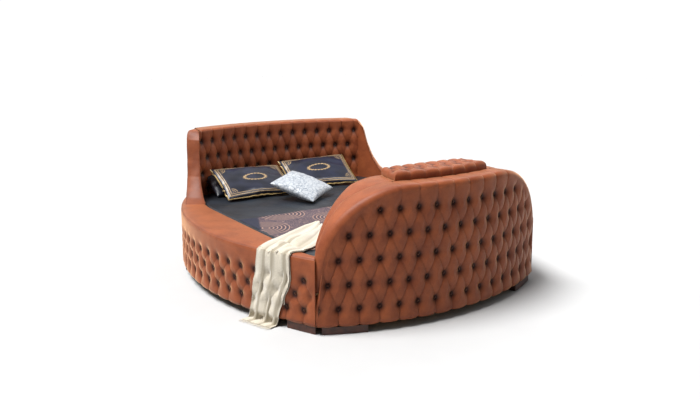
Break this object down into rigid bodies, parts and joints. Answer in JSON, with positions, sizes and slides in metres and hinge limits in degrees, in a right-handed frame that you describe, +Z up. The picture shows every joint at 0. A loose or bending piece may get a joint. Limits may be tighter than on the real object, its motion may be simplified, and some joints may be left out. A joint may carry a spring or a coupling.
{
  "type": "round bed",
  "caption": "Round upholstered bed: tufted velvet rails, winged headboard, thick footboard with a lid that a lift column raises, dressed with cover, pillows and a throw.",
  "frame": {"origin": "on the floor under the middle of the bed's plan", "axes": "+Z up, +Y from the footboard to the headboard, +X to the right of someone who looks at the footboard"},
  "size_m": [2.3518, 2.568, 0.985],
  "materials": {
    "velvet": "matte",
    "navy_satin": "satin",
    "slate_satin": "satin",
    "gold_cloth": "satin",
    "cream_wool": "matte",
    "ticking": "matte",
    "plywood": "matte",
    "dark_wood": "satin",
    "slat_wood": "satin",
    "steel": "satin",
    "bright_steel": "brushed"
  },
  "bodies": {
    "bed": {"back_pillow_left": "navy_satin", "back_pillow_right": "navy_satin", "bed_cover": "slate_satin", "bed_runner": "gold_cloth", "centre_beam": "slat_wood", "centre_legs": "slat_wood", "footboard_base_board": "plywood", "footboard_buttons": "velvet", "footboard_deck": "plywood", "footboard_facing": "velvet", "footboard_feet": "dark_wood", "footboard_front_panel": "plywood", "footboard_inner_pad": "velvet", "footboard_inner_panel": "plywood", "footboard_ribs": "plywood", "footboard_rim_pad": "velvet", "headboard_back_panel": "velvet", "headboard_buttons": "velvet", "headboard_cap": "plywood", "headboard_feet": "dark_wood", "headboard_front_panel": "plywood", "headboard_studs": "plywood", "headboard_top_pad": "velvet", "headboard_tufted_pad": "velvet", "joint_plates": "steel", "joint_screws": "bright_steel", "lace_cushion": "gold_cloth", "lift_base_plate": "steel", "lift_motor": "steel", "lift_outer_column": "steel", "mattress": "ticking", "rail_buttons_left": "velvet", "rail_buttons_right": "velvet", "rail_facing_left": "velvet", "rail_facing_right": "velvet", "rail_feet": "dark_wood", "rail_inner_board_left": "plywood", "rail_inner_board_right": "plywood", "rail_outer_board_left": "plywood", "rail_outer_board_right": "plywood", "rail_ribs": "plywood", "rail_top_board_left": "plywood", "rail_top_board_right": "plywood", "rail_top_pad_left": "velvet", "rail_top_pad_right": "velvet", "sham_left": "navy_satin", "sham_right": "navy_satin", "slat_ledges": "slat_wood", "slats": "slat_wood", "throw": "cream_wool", "wing_frame_left": "plywood", "wing_frame_right": "plywood", "wing_pad_left": "velvet", "wing_pad_right": "velvet"},
    "lift_middle": {"lift_middle_tube": "bright_steel"},
    "lift_top": {"lift_inner_tube": "bright_steel", "screen_bracket": "steel", "lid_board": "plywood", "lid_pad": "velvet", "lid_buttons": "velvet"}
  },
  "joints": [
    {"name": "lift_lower_stage", "type": "slide", "parent": "bed", "child": "lift_middle", "axis": [0, 0, 1], "range_m": [0, 0.3]},
    {"name": "lift_upper_stage", "type": "slide", "parent": "lift_middle", "child": "lift_top", "axis": [0, 0, 1], "range_m": [0, 0.3]}
  ],
  "couplings": [
    {"joint": "lift_upper_stage", "follows": "lift_lower_stage", "ratio": 1}
  ]
}
